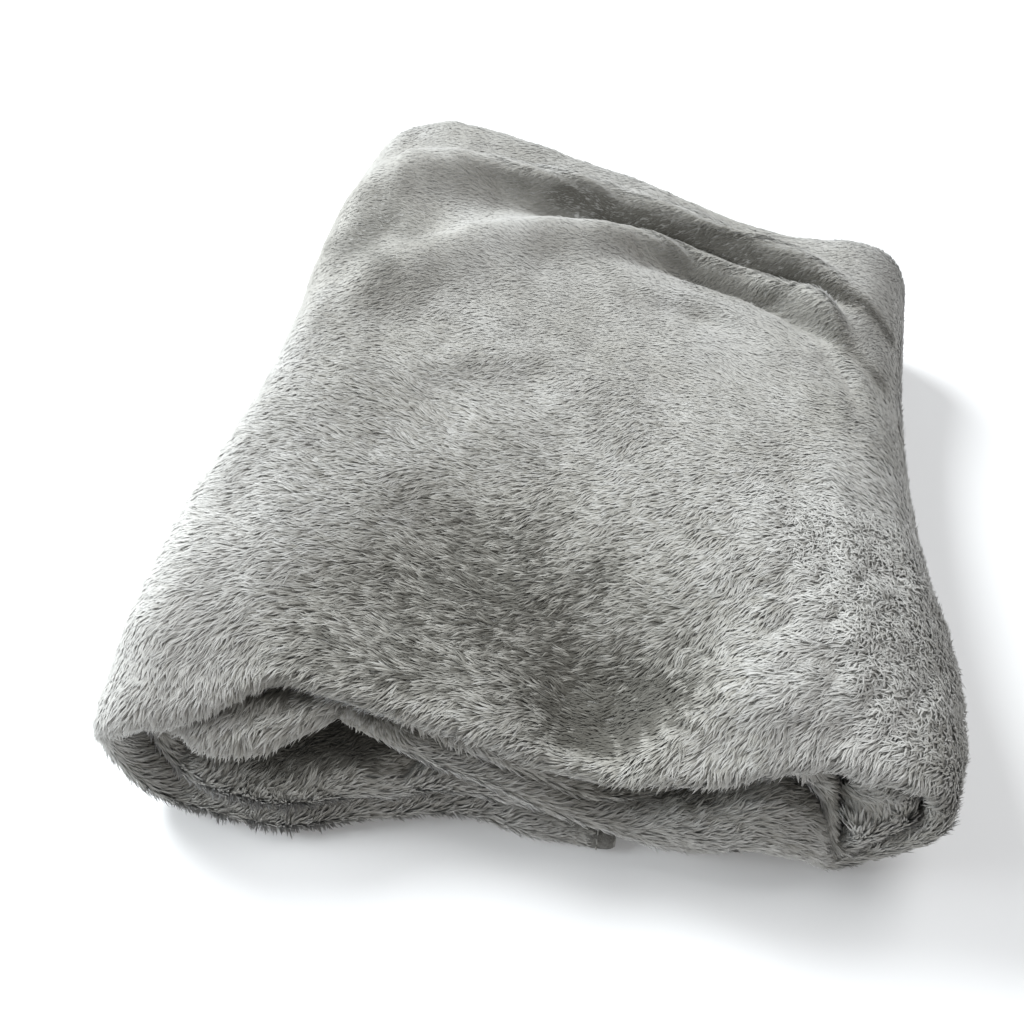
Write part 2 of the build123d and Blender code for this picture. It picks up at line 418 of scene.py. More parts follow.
def step_out(s, n, v):
    """Steps n out from the middle; in the right bend the inner pair is thicker and set back."""
    swelling, set_back, drop = 2.6, 10, 2
    x, z, nx, nz = mid_at(s)
    bend = smooth(s, S_BEND - 30, S_BEND + 12) * (1 - smooth(s, S_UNDER - 55, S_UNDER - 8))
    fuller = 1 + swelling * bend * (1 - smooth(v, 0.04, 0.3))
    n = np.where(n < -INNER, -INNER + (n + INNER) * fuller, n)
    inward = bend * (1 - smooth(n, -9, 0)) * (1 - smooth(v, 0.02, 0.2))
    return x + n * nx - set_back * inward, z + n * nz - drop * inward, n, z


def lift_panel(s, n, x, y, z, middle, from_front):
    """Lays the centre panel through the heights and creases of the top; deep parts press its layers."""
    most_down, most_up = -38, 24
    pile_height, inner_share, pressing, droop_reach = 4, 0.4, 0.45, 13.0
    flat_x = np.clip(x, LEFT_TURN_X, BEND_X)
    profile = np.interp(flat_x, *line_points[PANEL].T) + PAIR
    lift = np.clip(top_height(flat_x, y) - pile_height - profile, most_down, most_up)
    lift = lift + creases(x, y) * np.where(n > 0, 1, inner_share)
    squeeze = np.clip(lift / most_down, 0, 1)
    high = smooth(middle, LEFT_TURN_Z - 6, LEFT_TURN_Z + 14)
    panel = on_panel(s) * high
    z = z + panel * (lift + pressing * squeeze * (OUTER - n))
    return z - panel * smooth(n, -5, 5) * curve(lid_droop, x) * np.exp(-(from_front / droop_reach))


def sag_inner(s, n, x, y, z):
    """Lets the panel's inner pair sag at the front, on the left and over the right cavity."""
    left_drop, right_drop = 6, 4
    fore = 1 - smooth(y, -200, -80)
    inner = 1 - smooth(n, -6, 0)
    over = smooth(s, S_TOP - 30, S_TOP + 12) * (1 - smooth(s, S_BEND, S_BEND + 20))
    sag = np.exp(-(((x + 158) / 42) ** 2)) * over
    hollow = smooth(x, 60, 110) * (1 - smooth(x, 150, 175)) * on_panel(s)
    return z - left_drop * fore * inner * sag - right_drop * fore * inner * hollow


def fit_right_flap(s, up, x, y, z):
    """Lays the right flap's front between its seen lower and upper line, pressed down under the dimple."""
    parting, lean, lean_from, inner_back, layers_above, least_room = 2.5, 0.3, 30, 10, 30, 0.45
    under = smooth(s, S_UNDER - 20, S_UNDER + 25) * (1 - smooth(y, -212, -140))
    under_x = np.clip(x, TIP_X, BEND_X)
    low = np.interp(under_x, *line_points[-UNDER_POINTS:][::-1].T) - PAIR
    bottom, top = curve(flap_bottom, x), curve(flap_top, x)
    share = np.clip((z - low) / (2 * PAIR), 0, 1)
    stretch = smooth(x, 20, 80)
    share = share + stretch * (1 - (1 - share) ** parting - share)
    z = z + under * (bottom + share * (top - bottom) - z)
    y = y + under * stretch * (lean * np.maximum(z - lean_from, 0) + inner_back * (1 - up))
    ceiling = top_height(np.clip(x, LEFT_TURN_X, BEND_X), y) - layers_above
    room = np.clip(ceiling / (TIP_Z + PAIR), least_room, 1)
    pressed = smooth(s, S_UNDER - 20, S_UNDER + 10) * smooth(y, -212, -196)
    return y, z * (1 - pressed * (1 - room))


def swell_left_flap(s, x, y, z):
    """Raises the left flap's front into a roll, with a crease across it."""
    crease_depth = 6
    flap = 1 - smooth(s, S_LEFT - 10, S_LEFT + 10)
    behind = smooth(y, -250, -225) * (1 - smooth(y, -210, -120))
    raised = (0.35 + 0.65 * behind) * (1 - smooth(y, -200, -120)) * curve(flap_swell, x)
    z = z + flap * raised * (z / (2 * PAIR))
    crease = np.exp(-((((x + 66) - 0.9 * (y + 222)) / 7.0) ** 2)) * smooth(-y, 195, 215)
    return z - flap * crease_depth * crease * (z / (2 * PAIR))


def bulge_sides(x, y, z):
    """Moves the two side folds in or out along their length, and the right front corner back."""
    left_side = 1 - smooth(x, -215, -120)
    right_side = smooth(x, 120, 212)
    x = x + left_side * curve(left_shift, y) + right_side * curve(right_shift, y)
    return x - right_side * smooth(-y, 140, 212) * curve(corner_back, z)


def place(s, n, v):
    """Where a point of the strip goes: s along it, n out from its middle, v from front to back."""
    fold_reach, over_floor = 34, 0.2
    s, n, v = np.broadcast_arrays(np.asarray(s, float), n, v)
    x, z, n, middle = step_out(s, n, v)
    up = smooth(n, -5, 5)
    front = up * curve(front_outer, s) + (1 - up) * curve(front_inner, s)
    flow = base_front(x)
    y = flow + v * (base_back(x) - flow) + (front - flow) * np.exp(-v * DEEP / fold_reach)
    z = lift_panel(s, n, x, y, z, middle, y - front)
    z = sag_inner(s, n, x, y, z)
    y, z = fit_right_flap(s, up, x, y, z)
    z = swell_left_flap(s, x, y, z)
    x = bulge_sides(x, y, z)
    return np.stack([x, y, np.maximum(z, over_floor)], axis=-1)


# ---- the cross-section of the strip ---------------------------------------
def section(step_top, step_hidden):
    """Points (v, n) along the cloth from one hem, round the front and back folds, to the other hem."""
    hem_v = 1 - (PAIR + 6) / ACROSS
    edge = INNER / ACROSS
    tail = 1 - OUTER / ACROSS
    path = []

    def run(v0, v1, n, step):
        count = max(2, int(abs(v1 - v0) * ACROSS / step))
        path.extend((v, n) for v in np.linspace(v0, v1, count))

    def turn(v, mid, radius, count, back):
        for a in np.linspace(-back * math.pi / 2, back * math.pi / 2, count)[1:-1]:
            path.append((v - back * radius * math.cos(a) / ACROSS, mid + radius * math.sin(a)))

    run(hem_v, 0.09, INNER, step_hidden)
    run(0.085, edge, INNER, 5)
    turn(edge, LAYER, INNER, 9, 1)
    run(edge, 0.09, OUTER, 4)
    run(0.1, tail, OUTER, step_top)
    turn(tail, 0, OUTER, 14, -1)
    run(tail, 0.1, -OUTER, step_hidden)
    run(0.09, edge, -OUTER, 4)
    turn(edge, -LAYER, INNER, 9, 1)
    run(edge, 0.085, -INNER, 5)
    run(0.09, hem_v, -INNER, step_hidden)
    return np.array(path)


def grid(s_values, path):
    """Points and face-side normals on a grid of strip distance by cross-section."""
    s = np.asarray(s_values)[:, None]
    v, n = path[:, 0][None], path[:, 1][None]
    points = place(s, n + 0 * s, v + 0 * s)
    along = np.gradient(points, axis=0)
    across = np.gradient(points, axis=1)
    normal = np.cross(along, across)
    normal /= np.linalg.norm(normal, axis=2, keepdims=True) + 1e-9
    return points, normal


# ---- meshes ----------------------------------------------------------------
def mesh_object(name, points, faces, material, uv=None):
    """A mesh from arrays; faces is (count, 3) or (count, 4)."""
    sides = faces.shape[1]
    mesh = bpy.data.meshes.new(name)
    mesh.vertices.add(len(points))
    mesh.vertices.foreach_set("co", (points * MM).astype(np.float32).ravel())
    mesh.loops.add(faces.size)
    mesh.loops.foreach_set("vertex_index", faces.astype(np.int32).ravel())
    mesh.polygons.add(len(faces))
    mesh.polygons.foreach_set("loop_start", np.arange(0, faces.size, sides, dtype=np.int32))
    mesh.polygons.foreach_set("use_smooth", np.full(len(faces), True))
    if uv is not None:
        layer = mesh.uv_layers.new(name="OFBake")
        layer.data.foreach_set("uv", uv[faces.ravel()].astype(np.float32).ravel())
    mesh.materials.append(material)
    mesh.update()
    mesh.validate()
    obj = bpy.data.objects.new(name, mesh)
    bpy.context.scene.collection.objects.link(obj)
    return obj


def shell(points, normal, thick):
    """A closed sheet round a grid of points, thick to each side."""
    rows, columns = points.shape[:2]
    faces_of_sheet = (points + thick * normal, points - thick * normal)
    both = np.concatenate([side.reshape(-1, 3) for side in faces_of_sheet])
    ids = np.arange(rows * columns).reshape(rows, columns)
    a, b, c, d = ids[:-1, :-1], ids[1:, :-1], ids[1:, 1:], ids[:-1, 1:]
    face = np.stack([a, b, c, d], axis=-1).reshape(-1, 4)
    shift = rows * columns
    rim = np.concatenate([ids[:, 0], ids[-1, 1:], ids[-2::-1, -1], ids[0, -2:0:-1]])
    after = np.roll(rim, -1)
    side = np.stack([rim, rim + shift, after + shift, after], axis=-1)
    return both, np.concatenate([face, face[:, ::-1] + shift, side])


# ---- materials -------------------------------------------------------------
def nodes_of(name):
    """A new material, its node tree and its shader."""
    material = bpy.data.materials.new(name)
    material.use_nodes = True
    tree = material.node_tree
    return material, tree, tree.nodes["Principled BSDF"]


def ramp(tree, stops):
    """A colour ramp through stops (position, colour)."""
    node = tree.nodes.new("ShaderNodeValToRGB")
    elements = node.color_ramp.elements
    while len(elements) < len(stops):
        elements.new(0.5)
    for element, (position, colour) in zip(elements, stops):
        element.position = position
        element.color = (*colour, 1)
    return node


def grey(value, warm=0.0):
    """A linear grey, a little warmer or cooler."""
    return (value * (1 + 0.03 * warm), value, value * (1 - 0.09 * warm))


def pile_material():
    """Pile: V runs from dark at the root to light at the tip, painted shade down among the locks; U is each
    lock's own tone, with painted light and shade added to it.
    """
    material, tree, shader = nodes_of("plush_pile")
    uv = tree.nodes.new("ShaderNodeUVMap")
    uv.uv_map = "OFBake"
    split = tree.nodes.new("ShaderNodeSeparateXYZ")
    tree.links.new(uv.outputs["UV"], split.inputs["Vector"])
    along = ramp(tree, [
        (0.0, grey(0.2, 1.1)), (0.35, grey(0.31, 0.7)), (0.75, grey(0.40, 0.5)), (1.0, grey(0.46, 0.3)),
    ])
    tree.links.new(split.outputs["Y"], along.inputs["Fac"])
    tone = ramp(tree, [(0.0, grey(0.2, 1.4)), (0.3, grey(0.78, 0.5)), (0.7, grey(1.04)), (1.0, grey(1.25))])
    tree.links.new(split.outputs["X"], tone.inputs["Fac"])
    mix = tree.nodes.new("ShaderNodeMix")
    mix.data_type = "RGBA"
    mix.blend_type = "MULTIPLY"
    mix.inputs["Factor"].default_value = 1.0
    tree.links.new(along.outputs["Color"], mix.inputs["A"])
    tree.links.new(tone.outputs["Color"], mix.inputs["B"])
    tree.links.new(mix.outputs["Result"], shader.inputs["Base Color"])
    shader.inputs["Roughness"].default_value = 0.62
    shader.inputs["Sheen Weight"].default_value = 0.28
    shader.inputs["Sheen Roughness"].default_value = 0.4
    shader.inputs["Specular IOR Level"].default_value = 0.35
    return material


def cloth_material(name, dark, light, scale, sheen):
    """Short uneven nap, or thread: fine noise between a dark and a light tone."""
    material, tree, shader = nodes_of(name)
    coordinates = tree.nodes.new("ShaderNodeTexCoord")
    fine = tree.nodes.new("ShaderNodeTexNoise")
    fine.inputs["Scale"].default_value = scale
    fine.inputs["Detail"].default_value = 6
    fine.inputs["Roughness"].default_value = 0.7
    tree.links.new(coordinates.outputs["Object"], fine.inputs["Vector"])
    colours = ramp(tree, [(0.3, dark), (0.72, light)])
    tree.links.new(fine.outputs["Fac"], colours.inputs["Fac"])
    tree.links.new(colours.outputs["Color"], shader.inputs["Base Color"])
    bump = tree.nodes.new("ShaderNodeBump")
    bump.inputs["Strength"].default_value = 0.7
    bump.inputs["Distance"].default_value = 0.0012
    tree.links.new(fine.outputs["Fac"], bump.inputs["Height"])
    tree.links.new(bump.outputs["Normal"], shader.inputs["Normal"])
    shader.inputs["Roughness"].default_value = 0.9
    shader.inputs["Sheen Weight"].default_value = sheen
    return material


pile_look = pile_material()
# The ground cloth is darker than the pile's tips: painted shade under the pile.
ground_look = cloth_material("plush_ground", grey(0.23, 0.8), grey(0.35, 0.6), 900, 0.15)
# The hems' dark tones are painted shade.
hem_look = cloth_material("hem_nap", grey(0.08, 1), grey(0.19, 1), 700, 0.2)
thread_look = cloth_material("sewing_thread", grey(0.22, 1), grey(0.36, 1), 2500, 0.1)

# ---- cloth -----------------------------------------------------------------
left_s = np.concatenate([np.linspace(0, S_LEFT - 20, 30), np.linspace(S_LEFT - 14, S_MID, 18)])
lid_s = np.concatenate([
    np.linspace(S_MID, S_TOP + 20, 22),
    np.linspace(S_TOP + 24, S_BEND, 84),
    np.linspace(S_BEND + 4, S_UNDER, 30),
    np.linspace(S_UNDER + 6, S_END, 44),
])
path = section(5.0, 14.0)

dice = np.random.default_rng(7)


def cloth_piece(name, s_values, bodies, start, end, stands_for):
    """The closed four-layered ground cloth of a stretch of the strip."""
    points, normal = grid(s_values, path)
    both, faces = shell(points, normal, THICK)
    obj = mesh_object(name, both, faces, ground_look)
    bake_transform(obj)
    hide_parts(*stands_for)
    return obj


def diagonal(hinge, direction, reach):
    """Two points in metres, either side of a hinge along a direction."""
    unit = np.array(direction, float) / np.linalg.norm(direction)
    return tuple((hinge - reach * unit) * MM), tuple((hinge + reach * unit) * MM)


REACH = 17.0                           # how far either side of each hinge the two points lie
left_bend = diagonal(bottom_hinge, (-1, 0, 1), REACH)
lid_bend = diagonal(top_hinge, (1, 0, 1), REACH)
nodes = sorted(frame["nodes"])
layers = [n for n in nodes if n.endswith("layers")]
left_nodes = [n for n in layers if n.startswith("left_flap")] + ["left_side_outer_layers"]
lid_nodes = [n for n in layers if n.startswith(("centre", "right"))] + ["left_side_inner_layers"]
left_cloth = cloth_piece("left_part_cloth", left_s, ("left_flap", "left_side_fold"), *left_bend, left_nodes)
lid_cloth = cloth_piece("lid_cloth", lid_s, ("left_side_fold", "lid"), *lid_bend, lid_nodes)


# ---- pile ------------------------------------------------------------------
def comb(at, along, across):
    """The way the pile is brushed: one way along the cloth, and over the front edge of the top."""
    x, y, z = at.T
    brushed = -0.92 * along - 0.38 * across
    to_front = (smooth(-y, 170, 212) * smooth(z, 52, 75))[:, None]
    brushed = brushed * (1 - 0.75 * to_front) + to_front * np.array([-0.25, -0.8, -0.3])
    twist = 0.3 * wave(x, y, 11, 170) + 0.22 * wave(x, y, 12, 60) + 0.16 * wave(x + z, y, 13, 26)
    return brushed, twist


def roots(s_values, columns, density):
    """Random roots on a stretch of the sheet's face side, and how far inside the folds each one is."""
    points, normal = grid(s_values, path[columns])
    along, across = np.gradient(points, axis=0), np.gradient(points, axis=1)
    along /= np.linalg.norm(along, axis=2, keepdims=True) + 1e-9
    across /= np.linalg.norm(across, axis=2, keepdims=True) + 1e-9
    points = points + THICK * 0.9 * normal
    a, b = points[:-1, :-1], points[1:, :-1]
    c, d = points[1:, 1:], points[:-1, 1:]
    area = 0.5 * np.linalg.norm(np.cross(c - a, d - b), axis=2)
    mean_s = 0.5 * (s_values[:-1] + s_values[1:])
    mean_v = 0.5 * (path[columns][:-1, 0] + path[columns][1:, 0])
    wanted = area * density(mean_s[:, None], mean_v[None], 0.25 * (a + b + c + d))
    count = np.floor(wanted + dice.random(wanted.shape)).astype(int)
    row, column = np.nonzero(count)
    again = count[row, column]
    row, column = np.repeat(row, again), np.repeat(column, again)
    p, q = dice.random(len(row)), dice.random(len(row))

    def mixed(values):
        return (
            values[row, column] * ((1 - p) * (1 - q))[:, None]
            + values[row + 1, column] * (p * (1 - q))[:, None]
            + values[row + 1, column + 1] * (p * q)[:, None]
            + values[row, column + 1] * ((1 - p) * q)[:, None]
        )

    facing = mixed(normal)
    facing /= np.linalg.norm(facing, axis=1, keepdims=True) + 1e-9
    # Roots on the faces inside the folds, back from the front edge; their locks get painted shade from this.
    inside = smooth(path[columns][column, 0], 0.0, 0.04) * (path[columns][column, 1] < LAYER)
    s = s_values[row] * (1 - p) + s_values[row + 1] * p
    return mixed(points), facing, mixed(along), mixed(across), inside, s


# Painted light and painted shade on the top: x, y, width, depth and change of tone
painted_light_shade_marks = [
    (-45, -120, 80, 60, -0.34), (30, -182, 40, 28, -0.6), (68, -165, 30, 22, -0.32),
    (-55, -185, 45, 16, -0.15), (-150, -110, 40, 40, 0.12), (-110, -170, 60, 36, -0.2),
    (70, -120, 40, 50, -0.12), (140, -175, 60, 36, 0.36), (130, -80, 70, 50, 0.3),
    (-215, -90, 45, 120, 0.3), (-205, -200, 40, 60, 0.25), (-195, -150, 50, 70, 0.42),
    (-155, 110, 50, 80, -0.36), (60, 166, 70, 10, -0.25), (90, 128, 60, 9, -0.2),
    (15, -120, 60, 40, -0.12), (60, 30, 90, 60, -0.05), (205, 0, 40, 150, 0.06),
    (190, -190, 30, 50, -0.12),
]
ridge_shade = (-0.5, -0.27)            # change of tone in front of each of the two far ridges


def painted_light_and_shade(x, y, z):
    """Painted light and shade on the pile: lighter and darker marks on the top, painted shade in front of the
    two far ridges, in the dimple, the folds and the cavities, and painted light low at the front.
    """
    total = np.zeros(len(x))
    for mark_x, mark_y, wide, deep, change in painted_light_shade_marks:
        total = total + change * blob(x, y, (mark_x, mark_y), (wide, deep))
    total = total * smooth(z, 30, 42)
    # Painted shade on the near slopes of the two far ridges.
    for (line, _, _, _, start), change in zip(ridges, ridge_shade):
        distance, side, along = near_line(x, y, line)
        band = np.exp(-(((distance - 8) / 7) ** 2)) * smooth(z, 60, 70)
        total = total + change * (side < 0) * smooth(along, start, start + 0.3) * band
    # Painted shade in the gaps between the folds at the front, under the dimple and in the left pocket.
    left_gap_shade = blob(x, z, (-150, 44), (48, 11)) * smooth(-y, 170, 215)
    dimple_shade = blob(x, z, (50, 46), (26, 9)) * smooth(-y, 190, 212)
    right_gap_shade = blob(x, z, (142, 55), (16, 16)) * smooth(y, -214, -205)
    pocket_shade = blob(x, z, (-175, 46), (34, 20)) * smooth(y, -238, -226) * (z < 70)
    # Painted light: the pile low at the front is made lighter.
    low = smooth(-y, 205, 220) * (1 - smooth(z, 25, 45)) * smooth(x, -45, -5)
    return total - 0.6 * (left_gap_shade + dimple_shade) - 0.4 * right_gap_shade - 0.3 * pocket_shade + 0.2 * low


def nearness(y):
    """0 at the far side, where the pile is short and even, and 1 at the near side."""
    return smooth(-y, -FAR_Y, -NEAR_Y)


def curliness(x, y, z):
    """1 at the right front of the top, where the pile is rubbed into curls."""
    over = smooth(x - 80 + 0.41 * y, -14, 14)
    return over * smooth(-y, 35, 80) * (1 - smooth(-y, 175, 200)) * smooth(z, 40, 70)


def lock_faces(rings, count):
    """Triangles of a lock with three sides and a tip, repeated for every lock."""
    pattern = [(0, 2, 1)]
    for number in range(rings - 1):
        low, high = 3 * number, 3 * number + 3
        for k in range(3):
            j = (k + 1) % 3
            pattern += [(low + k, low + j, high + j), (low + k, high + j, high + k)]
    last, tip = 3 * (rings - 1), 3 * rings
    pattern += [(last + k, last + (k + 1) % 3, tip) for k in range(3)]
    pattern = np.array(pattern)[:, ::-1]
    return (pattern[None] + (np.arange(count) * (3 * rings + 1))[:, None, None]).reshape(-1, 3)


def locks(at, facing, along, across, depth, length, width, rings):
    """Curved tapering locks of pile, each a closed mesh with three sides."""
    count = len(at)
    x, y, z = at.T
    brushed, twist = comb(at, along, across)
    brushed -= (brushed * facing).sum(1, keepdims=True) * facing
    brushed /= np.linalg.norm(brushed, axis=1, keepdims=True) + 1e-9
    sideways = np.cross(facing, brushed)
    curly = curliness(x, y, z)
    near = nearness(y)
    turn = twist + dice.normal(0, 0.1 + 0.7 * curly, count) + 0.3 * near * wave(x, y + z, 21, 15)
    heading = brushed * np.cos(turn)[:, None] + sideways * np.sin(turn)[:, None]
    lean = np.radians(dice.normal(18, 5, count) + 7 * near + 20 * curly + 6 * near * wave(x, y + z, 22, 13))
    fly = dice.random(count) < 0.03
    lean = np.clip(lean + np.where(fly, 0.3, 0), 0.08, 1.3)
    size = length * (0.72 + 0.38 * near) * np.clip(dice.normal(1, 0.16, count), 0.6, 1.45) * (1 - 0.2 * curly)
    thick = width * (0.85 + 0.25 * near) * np.where(fly, 0.5, np.clip(dice.normal(1, 0.22, count), 0.5, 1.6))
    steps = np.linspace(0, 1, rings + 1)
    sweep = dice.normal(0, 0.22, count)
    centre, ring_points = at.copy(), []
    tone = 0.5 + (0.03 + 0.03 * near) * dice.normal(0, 1, count)
    tone = tone + 0.06 * wave(x, y + z, 23, 40) + 0.05 * wave(x, y, 24, 120)
    tone = tone + 0.12 * near * wave(x, y + z, 25, 9) + 0.12 * near * wave(x, y + z, 26, 5)
    # Painted light and shade from the marks, and painted shade on locks inside the folds.
    tone = np.clip(tone + painted_light_and_shade(x, y, z) - 0.42 * depth, 0.02, 0.98)
    # Where V starts on each lock: near and curly locks keep the dark root, painted shade among the locks; far
    # locks start lighter.
    root = 0.03 + 0.6 * (1 - near) * (1 - curly)
    uv = []
    for number in range(rings + 1):
        t = steps[number]
        tilt = lean * (1.2 - 0.95 * t)
        direction = (
            heading * np.cos(tilt)[:, None] + facing * np.sin(tilt)[:, None] + sideways * (sweep * t)[:, None]
        )
        direction /= np.linalg.norm(direction, axis=1, keepdims=True)
        if number:
            centre = centre + direction * (size / rings)[:, None]
        if number == rings:
            ring_points.append(centre[:, None, :])
            uv.append(np.stack([tone, np.full(count, 0.97)], 1)[:, None, :])
            break
        flank = np.cross(direction, facing)
        flank /= np.linalg.norm(flank, axis=1, keepdims=True) + 1e-9
        above = np.cross(flank, direction)
        profile = 0.5 * thick * (1 - 0.62 * t ** 1.6) * (0.75 if number == 0 else 1)
        for angle in (math.pi / 2, math.pi * 7 / 6, math.pi * 11 / 6):
            offset = flank * math.cos(angle) + above * (0.55 * math.sin(angle))
            ring_points.append((centre + offset * profile[:, None])[:, None, :])
            shade = np.clip(tone + 0.05 * math.cos(angle), 0, 1)
            uv.append(np.stack([shade, root + (0.93 - root) * t], 1)[:, None, :])
    points = np.concatenate(ring_points, axis=1).reshape(-1, 3)
    uv = np.concatenate(uv, axis=1).reshape(-1, 2)
    return points, lock_faces(rings, count), uv


def soften(obj, facing, near):
    """Turns a lock's shading towards the cloth under it, as light does in deep pile."""
    own = np.zeros(len(facing) * 3, np.float32)
    obj.data.vertices.foreach_get("normal", own)
    share = (0.15 + 0.24 * near)[:, None]
    mixed = share * own.reshape(-1, 3) + (1.15 - share) * facing
    mixed /= np.linalg.norm(mixed, axis=1, keepdims=True) + 1e-9
    obj.data.normals_split_custom_set_from_vertices(mixed)


MOST_LOCKS = 19500                     # in one piece, to stay under the export's limit on faces
RINGS = 2                              # of corners along each lock, without its tip
LOCK = 7.6                             # usual length of a lock
HIDDEN_WIDTH = 1.4                     # width of a lock on the inner side, where there are fewer


def pile_pieces(name, s_values, columns, density, length, width):
    """Pile on a stretch of cloth, shorter next to the end hem, in pieces of a size that exports well."""
    at, facing, along, across, depth, s = roots(s_values, columns, density)
    order = np.argsort(s, kind="stable")
    made = []
    for number, part in enumerate(np.array_split(order, max(1, math.ceil(len(order) / MOST_LOCKS)))):
        to_end = np.minimum(s[part], S_END - s[part])
        lengths = length * (0.45 + 0.55 * smooth(to_end, HEM, 55))
        points, faces, uv = locks(
            at[part], facing[part], along[part], across[part], depth[part], lengths, width, RINGS
        )
        obj = mesh_object(f"{name}_{number + 1}", points, faces, pile_look, uv)
        per_lock = 3 * RINGS + 1
        soften(obj, np.repeat(facing[part], per_lock, axis=0), np.repeat(nearness(at[part, 1]), per_lock))
        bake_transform(obj)
        made.append(obj)
    return made


v_values, n_values = path[:, 0], path[:, 1]
numbers = np.arange(len(path))
in_front = v_values < 0.13
close = 0.01
upper_turn = numbers[in_front & (n_values > INNER - close) & (n_values < OUTER - close)]
lower_turn = numbers[in_front & (n_values < close - INNER) & (n_values > close - OUTER)]
after_turn = numbers > upper_turn.max()
tail_top = int(np.argmax((n_values < OUTER - 0.5) & (v_values > 0.9) & after_turn))
outer_columns = slice(upper_turn.min(), tail_top + 14)
inner_columns = slice(tail_top + 12, lower_turn.max() + 1)
AMOUNT = 1.0


# Locks per square millimetre, from the strip distance s, the share v of the way back and the place.
def left_outer_density(s, v, at):
    on_floor = (at[..., 2] < 4) & (v > 0.06)
    return AMOUNT * (s > HEM) * np.where(on_floor, 0.02, 0.55)


def left_inner_density(s, v, at):
    return AMOUNT * (s > HEM) * np.where(v < 0.09, 0.55, 0.36) * np.ones_like(at[..., 2])


def lid_outer_density(s, v, at):
    hidden = np.where(v < 0.09, 0.55, 0.3)
    return AMOUNT * (s < S_END - HEM) * np.where(s > S_UNDER + 30, hidden, 0.70) * np.ones_like(at[..., 2])


def lid_inner_density(s, v, at):
    in_cavity = s < on_top(TIP_X) + 8
    behind = np.where(in_cavity, 0.34, 0.0)
    return AMOUNT * (s < S_END - HEM) * np.where(v < 0.09, 0.55, behind) * np.ones_like(at[..., 2])


left_fur = pile_pieces(
    "left_part_pile_outer", left_s, outer_columns, left_outer_density, LOCK, 1.2
) + pile_pieces(
    "left_part_pile_inner", left_s, inner_columns, left_inner_density, LOCK, HIDDEN_WIDTH
)
lid_fur = pile_pieces(
    "lid_pile_outer", lid_s, outer_columns, lid_outer_density, 7.4, 1.12
) + pile_pieces(
    "lid_pile_inner", lid_s, inner_columns, lid_inner_density, LOCK, HIDDEN_WIDTH
)

# ---- hems ------------------------------------------------------------------
GATHER = 3.4                           # from one gather of an end hem to the next
STITCH_LINE = 9.5                      # from the cloth's edge to the stitches
STITCH_LIFT = 3.0                      # height of the stitches over the cloth's middle
STITCH = 3.5
STITCH_PITCH = 4.8
HEM_HALF = 2.9                         # half the thickness of a long hem


def path_length(columns):
    """Distance along the cross-section in millimetres."""
    steps = np.hypot(np.diff(columns[:, 0]) * ACROSS, np.diff(columns[:, 1]))
    return np.concatenate([[0], np.cumsum(steps)])


def end_hem(name, edge, inwards, body, node):
    """The turned and gathered hem along one end of the strip, through all four layers."""
    fine = section(2.0, 2.0)
    across = np.array([0.0, 0.8, 2.2, 4.5, 7.0, 9.5, 11.8, HEM])
    thick = np.array([1.4, 2.4, 3.0, 3.2, 3.0, 2.7, 2.9, 2.2])
    rows = edge + inwards * across
    order = np.argsort(rows)
    points, normal = grid(rows[order], fine)
    gather = 0.5 * np.sin(2 * math.pi * path_length(fine) / GATHER)[None, :, None]
    thick = thick[order][:, None, None] + gather
    both, faces = shell(points, normal, thick)
    obj = mesh_object(name, both, faces, hem_look)
    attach(obj, body)
    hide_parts(node)
    return obj


def end_stitches(name, edge, inwards, body, node):
    """A row of short stitches along the inner side of an end hem."""
    fine = section(1.0, 1.0)
    rows = np.sort([edge + inwards * STITCH_LINE, edge + inwards * (STITCH_LINE + 0.1)])
    points, normal = grid(rows, fine)
    points, normal = points[0] + STITCH_LIFT * normal[0], normal[0]
    walked = np.concatenate([[0], np.cumsum(np.linalg.norm(np.diff(points, axis=0), axis=1))])
    starts = np.arange(2.0, walked[-1] - 4.0, STITCH_PITCH)
    sides = 6

    def at(distance):
        place_at = np.stack([np.interp(distance, walked, points[:, k]) for k in range(3)], axis=1)
        out_at = np.stack([np.interp(distance, walked, normal[:, k]) for k in range(3)], axis=1)
        return place_at, out_at / np.linalg.norm(out_at, axis=1, keepdims=True)

    profile = [(0.0, 0.12, -0.5), (0.12, 0.42, 0.1), (0.5, 0.5, 0.35), (0.88, 0.42, 0.1), (1.0, 0.12, -0.5)]
    rings = []
    for share, radius, lift in profile:
        centre, out = at(starts + STITCH * share)
        ahead = at(starts + (STITCH + 0.1) * share + 0.2)[0] - centre
        ahead /= np.linalg.norm(ahead, axis=1, keepdims=True)
        flank = np.cross(ahead, out)
        for k in range(sides):
            angle = k * 2 * math.pi / sides
            rings.append(centre + lift * out + radius * (math.cos(angle) * flank + math.sin(angle) * out))
    points_out = np.stack(rings, axis=1).reshape(-1, 3)
    pattern = []
    last = sides * (len(profile) - 1)
    for ring in range(0, last, sides):
        for k in range(sides):
            low, side = ring + k, ring + (k + 1) % sides
            pattern += [(low, side, side + sides), (low, side + sides, low + sides)]
    pattern += [(0, k + 1, k) for k in range(1, sides - 1)]
    pattern += [(last, last + k, last + k + 1) for k in range(1, sides - 1)]
    faces = np.array(pattern)[None] + (np.arange(len(starts)) * sides * len(profile))[:, None, None]
    faces = faces.reshape(-1, 3)
    obj = mesh_object(name, points_out, faces, thread_look)
    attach(obj, body)
    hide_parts(node)
    return obj


